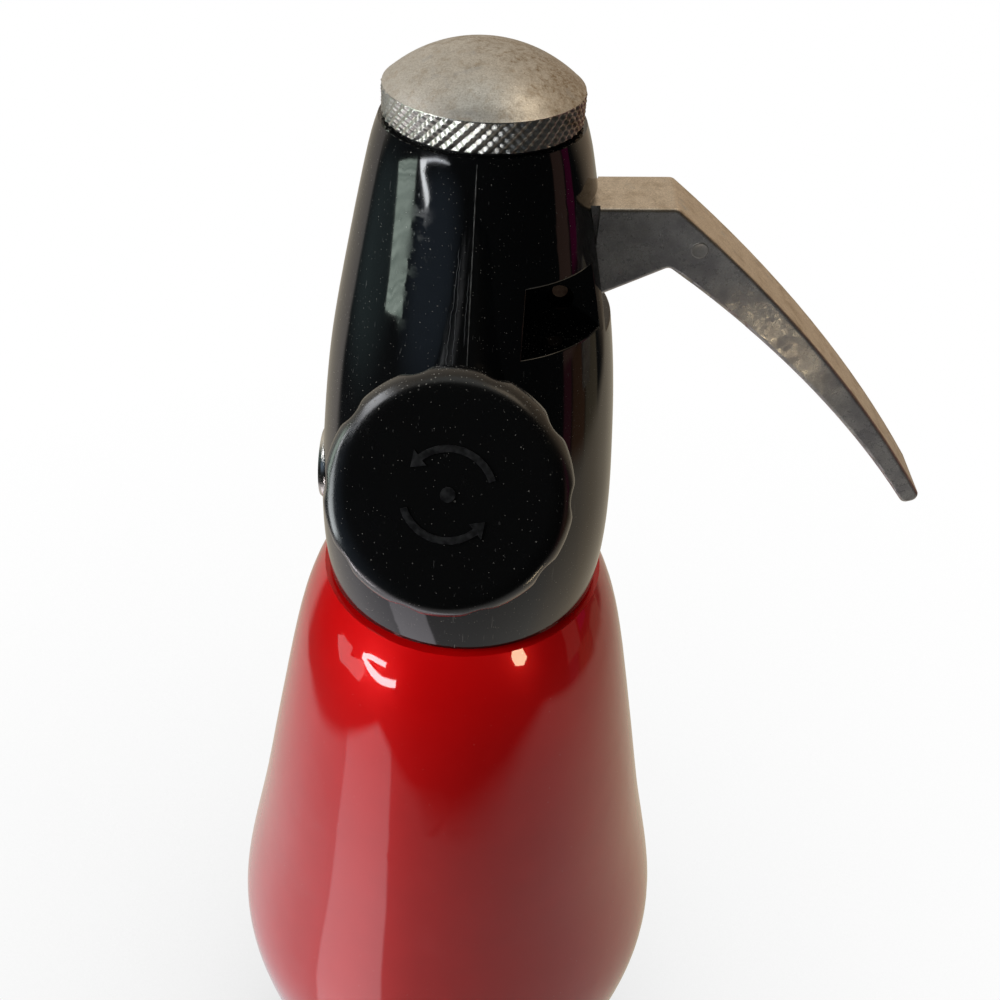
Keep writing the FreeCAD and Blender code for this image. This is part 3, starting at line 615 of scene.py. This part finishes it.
def make_spring():
    """Compression spring with closed ends."""
    box_low, box_high = (corner[2] / MM - HEAD_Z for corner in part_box("valve_spring"))
    wire, steps, sides = SPRING_WIRE_R, SPRING_STEPS, SPRING_SIDES
    low, high = box_low + wire, box_high - wire
    points = []
    faces = []
    count = SPRING_TURNS * steps
    for k in range(count + 1):
        turn = 2 * math.pi * k / steps
        share = min(1.0, max(0.0, (k / steps - SPRING_CLOSED) / (SPRING_TURNS - 2 * SPRING_CLOSED)))
        height = low + (high - low) * share
        for i in range(sides):
            around = 2 * math.pi * i / sides
            out = SPRING_R + wire * math.cos(around)
            points.append((out * math.cos(turn), out * math.sin(turn), height + wire * math.sin(around)))
    for k in range(count):
        for i in range(sides):
            j = (i + 1) % sides
            faces.append((k * sides + i, (k + 1) * sides + i, (k + 1) * sides + j, k * sides + j))
    faces += [tuple(range(sides)), tuple(count * sides + i for i in reversed(range(sides)))]
    item = piece("coil_spring", points, faces, "spring_steel", None)
    crease_smooth(item, 50)
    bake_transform(item)
    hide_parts("valve_spring")


# ------------------------------------------------------------------ head and knob details
def head_radius(height):
    """Radius of the housing at a height, through the same points as the solid."""
    points = HEAD_CURVE
    for k in range(len(points) - 1):
        if points[k][1] <= height <= points[k + 1][1]:
            break
    p1, p2 = points[k], points[k + 1]
    p0 = points[k - 1] if k > 0 else p1
    p3 = points[k + 2] if k + 2 < len(points) else p2
    t = (height - p1[1]) / (p2[1] - p1[1])
    slope1 = (p2[0] - p0[0]) / (p2[1] - p0[1]) * (p2[1] - p1[1])
    slope2 = (p3[0] - p1[0]) / (p3[1] - p1[1]) * (p2[1] - p1[1])
    return ((2 * t ** 3 - 3 * t ** 2 + 1) * p1[0] + (t ** 3 - 2 * t ** 2 + t) * slope1
            + (-2 * t ** 3 + 3 * t ** 2) * p2[0] + (t ** 3 - t ** 2) * slope2)


SEAM_SECTION = (-0.16, -0.12), (-0.055, 0.05), (0.055, 0.05), (0.16, -0.12)     # across, proud of the head
SEAM_STEP = 1.2


def make_seam(name, side, low, high):
    """Fine raised line where the two halves of the mould met."""
    count = int((high - low) / SEAM_STEP)
    points = []
    faces = []
    for k in range(count + 1):
        height = low + (high - low) * k / count
        radius = head_radius(height)
        for across, proud in SEAM_SECTION:
            points.append((across, side * (radius + proud), height))
    for k in range(count):
        for i in range(4):
            j = (i + 1) % 4
            faces.append((4 * k + i, 4 * k + j, 4 * k + 4 + j, 4 * k + 4 + i))
    faces += [(3, 2, 1, 0), tuple(4 * count + i for i in range(4))]
    if side > 0:
        faces = [f[::-1] for f in faces]
    piece(name, points, faces, "head_plastic", "head", smooth=False, finish=SEAM_SHEEN_AND_DUST)


GRIP_START = 40.0
# Radius, and distance along the holder's axis.
GRIP_OUTLINE = [(12.8, 40.8), (12.95, 43.0), (13.6, 56.0), (14.35, 69.8), (14.62, 71.2), (14.95, 75.0)]
FACE_OUTLINE = [(10.0, 81.66), (8.0, 81.7), (5.0, 81.76), (2.0, 81.79), (0, KNOB_FACE)]
KNOB_RIM = 77.4                 # where the rim starts to roll into the face
ROLL_WIDTH = 3.6
ROLL_HEIGHT = 4.2
ROLL_STEPS = 16
FLUTE_SOFT = 0.22               # rounding where a flute meets the grip


def make_knob():
    """Grip with ten shallow flutes; the rim rolls softly into the slightly domed face."""

    def fluted(base, height):
        def at(angle):
            off = (angle / KNOB_FLUTE_STEP + 0.5) % 1.0 - 0.5
            side = FLUTE_REACH * math.sin(off * KNOB_FLUTE_STEP)
            if abs(side) >= FLUTE_R:
                return base, height
            cut = FLUTE_REACH * math.cos(off * KNOB_FLUTE_STEP) - math.sqrt(FLUTE_R ** 2 - side ** 2)
            gap = (base - cut) / FLUTE_SOFT
            return (base, height) if gap < -8 else (base - FLUTE_SOFT * math.log1p(math.exp(gap)), height)
        return at

    rows = [(0, HOLDER_FAR), (HOLDER_R, HOLDER_FAR), (HOLDER_R, GRIP_START), (12.0, GRIP_START)]
    rows += [fluted(*place) for place in GRIP_OUTLINE]
    for k in range(ROLL_STEPS + 1):
        turn = math.pi / 2 * k / ROLL_STEPS
        rows.append(fluted(KNOB_R - ROLL_WIDTH + ROLL_WIDTH * math.cos(turn) ** 0.8,
                           KNOB_RIM + ROLL_HEIGHT * math.sin(turn) ** 0.9))
    rows += FACE_OUTLINE
    points, faces = lathe(rows, 360)
    item = piece("scalloped_knob", points, faces, "knob_plastic", "holder", place=AXIS_FRAME)
    crease_smooth(item, 50)
    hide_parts("holder_knob")


MARK_SUNK = 0.25                # depth of the mark's root in the knob
MARK_HEIGHT = 0.16
MARK_R = 5.4
MARK_HALF = 0.42                # half the width of an arrow's shaft
ARROW_HALF = 1.15               # half the width of its head
ARROW_LENGTH = 0.30             # angle that the head takes up
MARK_SPAN = 10                  # straight stretches in a shaft, of 11 degrees each
GATE_R = 0.9


def make_turn_mark():
    """Low moulded mark on the knob's face: two curved arrows round a small gate mark."""
    points = []
    faces = []

    def wall(outline):
        start = len(points)
        for height in (-MARK_SUNK, MARK_HEIGHT):
            for x, y in outline:
                sag = 0.3 * (x * x + y * y) / 13.5 ** 2
                points.append((x, y, KNOB_FACE - sag + height))
        n = len(outline)
        faces.append(tuple(start + n + i for i in range(n)))
        faces.append(tuple(start + n - 1 - i for i in range(n)))
        for i in range(n):
            j = (i + 1) % n
            faces.append((start + i, start + j, start + n + j, start + n + i))

    def at(radius, angle):
        return radius * math.cos(angle), radius * math.sin(angle)

    for first in (20, 200):
        span = [math.radians(first + 11.0 * i) for i in range(MARK_SPAN + 1)]
        outside = [at(MARK_R + MARK_HALF, a) for a in span]
        inside = [at(MARK_R - MARK_HALF, a) for a in span]
        for k in range(MARK_SPAN):
            wall([inside[k], outside[k], outside[k + 1], inside[k + 1]])
        end = span[-1]
        wall([at(MARK_R - ARROW_HALF, end), at(MARK_R + ARROW_HALF, end), at(MARK_R, end + ARROW_LENGTH)])
    wall([at(GATE_R, math.pi * i / 12) for i in range(24)])
    piece("turn_mark", points, faces, "knob_plastic", "holder", smooth=False, place=AXIS_FRAME,
          finish=MARK_EDGE)


EJECTOR_AT = (35.2, -LEVER_HALF, 73.3)      # on the lever's side, from the head's lower edge


def make_ejector_mark():
    """Round scar that a mould's ejector pin left on the lever's side."""
    rows = [(1.36, -0.15), (1.36, 0.0), (1.28, 0.07), (1.12, 0.07), (1.02, 0.025), (0.5, 0.02), (0, 0.02)]
    points, faces = lathe(rows, 40)
    at = UP_FRAME @ Matrix.Translation(Vector(EJECTOR_AT) * MM) @ Matrix.Rotation(math.pi / 2, 4, "X")
    piece("ejector_mark", points, faces, "lever_metal", "lever", place=at, finish=PIN_SCAR)


for name, item in frame["nodes"].items():
    item.data.materials.clear()
    item.data.materials.append(WORN_PIN if name == "lever_pin" else SURFACES[SLOT_OF[name]])

make_cap()
make_neck_ring()
make_holder_sleeve()
make_spring()
make_knob()
make_seam("seam_front", -1, 56.0, 89.2)
make_seam("seam_front_low", -1, 0.3, 8.0)
make_seam("seam_back", 1, 0.3, 88.0)
make_turn_mark()
make_ejector_mark()


# ------------------------------------------------------------------ floor and surroundings
def azimuth(s, x, y):
    """Degrees from -Y towards +X."""
    return s.times(s.math("ARCTAN2", x, s.times(y, -1.0)), 180 / math.pi)


# Tint of the table top that gloss surfaces mirror, by azimuth from the bottle's axis.
TABLE_TINTS = [(-180, (0.56, 0.50, 0.39)), (-140, (0.60, 0.54, 0.45)), (-126, (0.66, 0.60, 0.54)),
               (-108, (0.72, 0.67, 0.65)), (-92, (0.80, 0.76, 0.78)), (-60, (0.82, 0.78, 0.83)),
               (-28, (0.40, 0.38, 0.39)), (20, (0.42, 0.41, 0.40)), (60, (0.50, 0.48, 0.44)),
               (75, (0.56, 0.50, 0.42)), (110, (0.56, 0.47, 0.35)), (180, (0.56, 0.50, 0.39))]


FLOOR_HALF = 6.0                # metres


def make_floor():
    """Pale floor with the object's shadow. Gloss surfaces mirror a tinted table top instead."""
    mesh = bpy.data.meshes.new("floor")
    corners = [(-1, -1), (1, -1), (1, 1), (-1, 1)]
    mesh.from_pydata([(x * FLOOR_HALF, y * FLOOR_HALF, 0) for x, y in corners], [], [(0, 1, 2, 3)])
    floor = add_object("floor", mesh)
    mat, s = new_material("pale_floor")
    x, y, _ = s.split(s.node("ShaderNodeNewGeometry").outputs["Position"])

    shade = s.node("ShaderNodeAmbientOcclusion", {"Distance": 0.35}, samples=8).outputs["AO"]
    white = s.emission((1, 1, 1), s.line(shade, 0.0, 1.0, 0.45, 1.0))

    ramp = s.node("ShaderNodeValToRGB", {0: s.line(azimuth(s, x, y), -180, 180)})
    elements = ramp.color_ramp.elements
    while len(elements) < len(TABLE_TINTS):
        elements.new(0.5)
    for element, (angle, colour) in zip(elements, TABLE_TINTS):
        element.position = (angle + 180) / 360
        element.color = (*colour, 1.0)
    # A strip of window light that lies across the table's left front.
    across = azimuth(s, s.plus(x, -0.052), s.plus(y, 0.042))
    tint = s.mix(s.band(across, -72.0, -45.5, 1.6), ramp.outputs[0], (1.62, 1.54, 1.64))
    away = s.math("SQRT", s.plus(s.times(x, x), s.times(y, y)))
    near = s.times(s.line(away, 0.12, 0.34, 1.18, 0.80), s.line(shade, 0.0, 1.0, 0.15, 1.0))
    mirror = s.emission(tint, near)

    # The mirrored table ends in front and at both sides; beyond it the dark room shows.
    front = s.step(y, s.line(x, -0.1, 0.15, -0.318, -0.345), s.line(x, -0.1, 0.15, -0.285, -0.235))
    back_left = s.step(s.plus(y, s.times(x, 0.51)), -0.04, 0.04)
    left = s.most(s.step(x, -0.308, -0.276), back_left)
    right = s.step(x, 0.40, 0.50, 1.0, 0.0)
    table = s.times(front, s.times(left, right))
    gloss = s.mix_shader(table, s.clear(), mirror)
    plain = s.node("ShaderNodeBsdfDiffuse", {"Color": (0.5, 0.5, 0.5)}).outputs[0]
    s.node("ShaderNodeOutputMaterial", {0: s.by_ray(plain, gloss, white)})
    mesh.materials.append(mat)


def make_world():
    """White to the camera, soft light to matt surfaces, and a dim room to gloss surfaces."""
    world = bpy.data.worlds.new("studio")
    bpy.context.scene.world = world
    world.use_nodes = True
    s = Shader(world.node_tree)
    dx, dy, dz = s.split(s.node("ShaderNodeTexCoord").outputs["Generated"])
    az = azimuth(s, dx, dy)
    el = s.times(s.math("ARCSINE", dz), 180 / math.pi)

    # Dark in front; pale behind and overhead, warmer on the right.
    colour = (0.017, 0.018, 0.018)
    pale = s.mix(s.line(dx, -0.6, 0.6), (0.72, 0.66, 0.57), (0.50, 0.385, 0.27))
    pale = s.mix(s.step(el, 60, 80), pale, (0.87, 0.875, 0.83))
    behind = s.step(s.plus(dy, s.times(dz, 0.6)), 0.25, 0.60)
    colour = s.mix(behind, colour, pale)

    def card(az_low, az_high, el_low, el_high, soft, tint):
        """Adds a soft-edged patch."""
        nonlocal colour
        mask = s.times(s.band(az, az_low, az_high, soft), s.band(el, el_low, el_high, soft))
        colour = s.mix(mask, colour, tint)

    # A high window on the right.
    card(90, 122, 57, 70, 5.0, (2.5, 2.1, 1.6))
    # Furniture to the right: narrow upright strips.
    card(79, 91, -17, 9, 1.5, (0.26, 0.15, 0.12))
    card(94, 102, -12, 12, 1.5, (0.26, 0.012, 0.10))
    card(79, 86, -30, -18, 1.5, (0.16, 0.04, 0.06))
    card(89, 101, -30, -18, 2.0, (0.18, 0.09, 0.05))
    card(104, 118, -40, -18, 2.0, (0.22, 0.18, 0.12))

    room = s.node("ShaderNodeBackground", {"Color": colour}).outputs[0]
    soft = s.node("ShaderNodeBackground", {"Color": (1.0, 0.99, 0.97), "Strength": 0.10}).outputs[0]
    white = s.node("ShaderNodeBackground", {"Color": (1, 1, 1), "Strength": 1.0}).outputs[0]
    s.node("ShaderNodeOutputWorld", {0: s.by_ray(soft, room, white)})


def strip(points, half):
    """Outline of a stroke of that half width along the points."""
    return [(a, b - half) for a, b in points] + [(a, b + half) for a, b in reversed(points)]


def make_glow_card(name, centre, az, el, outlines, tint, strength, folds=None, haze=None, one_sided=False):
    """Small lamp face that only gloss surfaces mirror. Outlines are in its own plane, mm.

    folds gives the second tint of a folded cloth. haze fades the glow out within that distance.
    A one_sided card shows nothing on its back."""
    az, el = math.radians(az), math.radians(el)
    across = Vector((math.cos(az), math.sin(az), 0))
    away = Vector((math.sin(az) * math.cos(el), -math.cos(az) * math.cos(el), math.sin(el)))
    up = away.cross(across)
    points = []
    faces = []
    for outline in outlines:
        faces.append(tuple(range(len(points), len(points) + len(outline))))
        points += [(Vector(centre) + a * across + b * up) * MM for a, b in outline]
    mesh = bpy.data.meshes.new(name)
    mesh.from_pydata(points, [], faces)
    item = add_object(name, mesh)
    mat, s = new_material(name)
    clear = s.clear()
    if folds:
        _, y, z = s.split(s.place())
        fall = s.plus(z, s.times(y, 0.30))
        fall = s.plus(fall, s.times(s.noise(9.0, 3.0), 6.0))
        wave = s.node("ShaderNodeTexNoise", {"W": fall, "Scale": 0.45, "Detail": 3.0}, noise_dimensions="1D")
        tint = s.mix(s.step(wave.outputs[0], 0.40, 0.60), tint, folds)
    if haze:
        at = s.node("ShaderNodeNewGeometry").outputs["Position"]
        middle = tuple(c * MM for c in centre)
        off = s.node("ShaderNodeVectorMath", {0: at, 1: middle}, operation="DISTANCE")
        strength = s.step(off.outputs["Value"], 0.25 * haze * MM, haze * MM, strength, 0.0)
    glow = s.emission(tint, strength)
    if haze:
        glow = s.node("ShaderNodeAddShader", {0: glow, 1: clear}).outputs[0]
    share = s.node("ShaderNodeLightPath").outputs["Is Glossy Ray"]
    if one_sided:
        behind = s.node("ShaderNodeNewGeometry").outputs["Backfacing"]
        share = s.times(share, s.math("SUBTRACT", 1.0, behind))
    s.node("ShaderNodeOutputMaterial", {0: s.mix_shader(share, clear, glow)})
    mesh.materials.append(mat)


def make_lamp(name, place, size, power, tint, aim=(0, 0, 0.2)):
    """Area lamp that gloss surfaces don't mirror."""
    data = bpy.data.lights.new(name, "AREA")
    data.size = size
    data.energy = power
    data.color = tint
    lamp = add_object(name, data)
    lamp.location = place
    lamp.rotation_euler = (Vector(aim) - Vector(place)).to_track_quat("-Z", "Y").to_euler()
    lamp.visible_glossy = False


make_floor()
make_world()
make_glow_card("curtain", (-81.2, -40.7, 284.2), -70.5, -5.6,
               [[(-26.5, 18.7), (-9.0, 26.3), (5.3, 30.5), (10.5, 15.0), (14.1, 4.1), (16.5, -5.8),
                 (19.0, -19.0), (7.8, -19.8), (-5.7, -20.5), (-7.7, -11.7), (-14.2, 0.6), (-20.5, 9.5)]],
               (0.88, 1.04, 0.92), 5.0, folds=(0.44, 0.55, 0.48))
make_glow_card("lamp_stem", (-61.9, -65.1, 311.9), -48.1, 7.4,
               [[(-21.0, 3.4), (-10.5, 6.2), (-9.6, 3.6), (-9.4, -4.0), (-2.6, -9.6), (3.4, -14.4),
                 (1.2, -17.7), (-7.6, -12.4), (-15.2, -4.7)]], (0.97, 1.0, 1.03), 16.0)
make_glow_card("lamp_bar", (-61.9, -65.1, 311.9), -48.1, 7.4,
               [[(-10.5, 6.2), (3.8, 9.7), (16.5, 11.4), (28.8, 11.3), (14.1, 9.6), (1.7, 7.6), (-9.6, 4.2)]],
               (0.96, 1.0, 1.06), 13.0)
make_glow_card("knurl_light", (-78.0, -36.0, 356.0), -66.0, 32.0,
               [[(-42.0, -15.0), (46.0, -15.0), (46.0, 15.0), (-42.0, 15.0)]], (0.97, 0.99, 1.03), 8.0)
make_glow_card("knob_light", (-58.0, -78.0, 281.0), 42.0, 0.0,
               [[(-22.0, -24.0), (20.0, -24.0), (20.0, 16.0), (-22.0, 16.0)]], (0.92, 0.98, 1.0), 7.0,
               one_sided=True)
make_glow_card("blue_haze", (-50.0, -79.0, 282.0), -36.0, -5.0,
               [[(-48, -48), (48, -48), (48, 48), (-48, 48)]], (0.15, 0.205, 0.28), 1.0, haze=48.0)
make_glow_card("teal_haze", (-88.0, -10.0, 273.0), -93.0, -12.0,
               [[(-46, -46), (46, -46), (46, 46), (-46, 46)]], (0.12, 0.18, 0.185), 1.0, haze=46.0)
make_glow_card("lamp_strokes", (-83.9, -81.4, 189.8), -51.9, -11.6,
               [strip([(-21.8, 1.0), (-13, 4.6), (-5.8, 6.3), (10.8, 7.6)], 2.5),
                strip([(-21.8, 1.0), (-14.4, -1.8), (-5.2, -4.3), (9, -5.6), (27.5, -3.5)], 2.7)],
               (1.0, 0.93, 0.96), 16.0)
make_glow_card("pink_wall", (-102.6, -47.9, 180.2), -73.5, -17.3,
               [[(-24.8, 3.1), (-15.9, 8.6), (2.2, 8.7), (1.2, 1.5), (20.7, 6.1), (26.1, 0.0), (20.2, -9.7),
                 (2.4, -7.1), (-10.8, -8.3), (-19.4, -2.2)]], (1.0, 0.95, 0.97), 1.5)
make_glow_card("warm_lamp", (73.4, -91.9, 213.1), 42.9, 0.4,
               [[(-7.3, 8.0), (0.0, 8.0), (6.2, 6.4), (10.7, -2.4), (5.2, -7.7), (-4.9, -5.4), (-10.1, 1.4)]],
               (1.0, 0.80, 0.52), 17.0)
make_lamp("key_lamp", (-1.08, -0.29, 0.65), 0.7, 10.0, (0.98, 0.99, 1.0))
make_lamp("back_lamp", (0.35, 0.95, 1.10), 0.9, 6.5, (1.0, 0.95, 0.88))
make_lamp("glow_lamp", (-0.041, -0.053, 0.237), 0.02, 0.011, (1.0, 0.95, 0.95),
          aim=(-0.017, -0.025, 0.210))
make_lamp("warm_glow_lamp", (0.025, -0.057, 0.228), 0.02, 0.0045, (1.0, 0.86, 0.66),
          aim=(0.013, -0.028, 0.205))


# ------------------------------------------------------------------ camera
CAMERA_LENS = 39.6              # for a sensor 36 mm wide
CAMERA_PLACE = (0.005198, -0.164418, 0.368857)
CAMERA_TURN = (49.531, -3.1252, 2.131)      # degrees


def make_camera():
    data = bpy.data.cameras.new("camera")
    data.lens = CAMERA_LENS
    data.sensor_width = 36.0
    data.clip_start = 0.01
    camera = add_object("camera", data)
    camera.location = CAMERA_PLACE
    camera.rotation_euler = [math.radians(angle) for angle in CAMERA_TURN]
    bpy.context.scene.camera = camera


make_camera()
bpy.context.scene.view_settings.view_transform = "Standard"
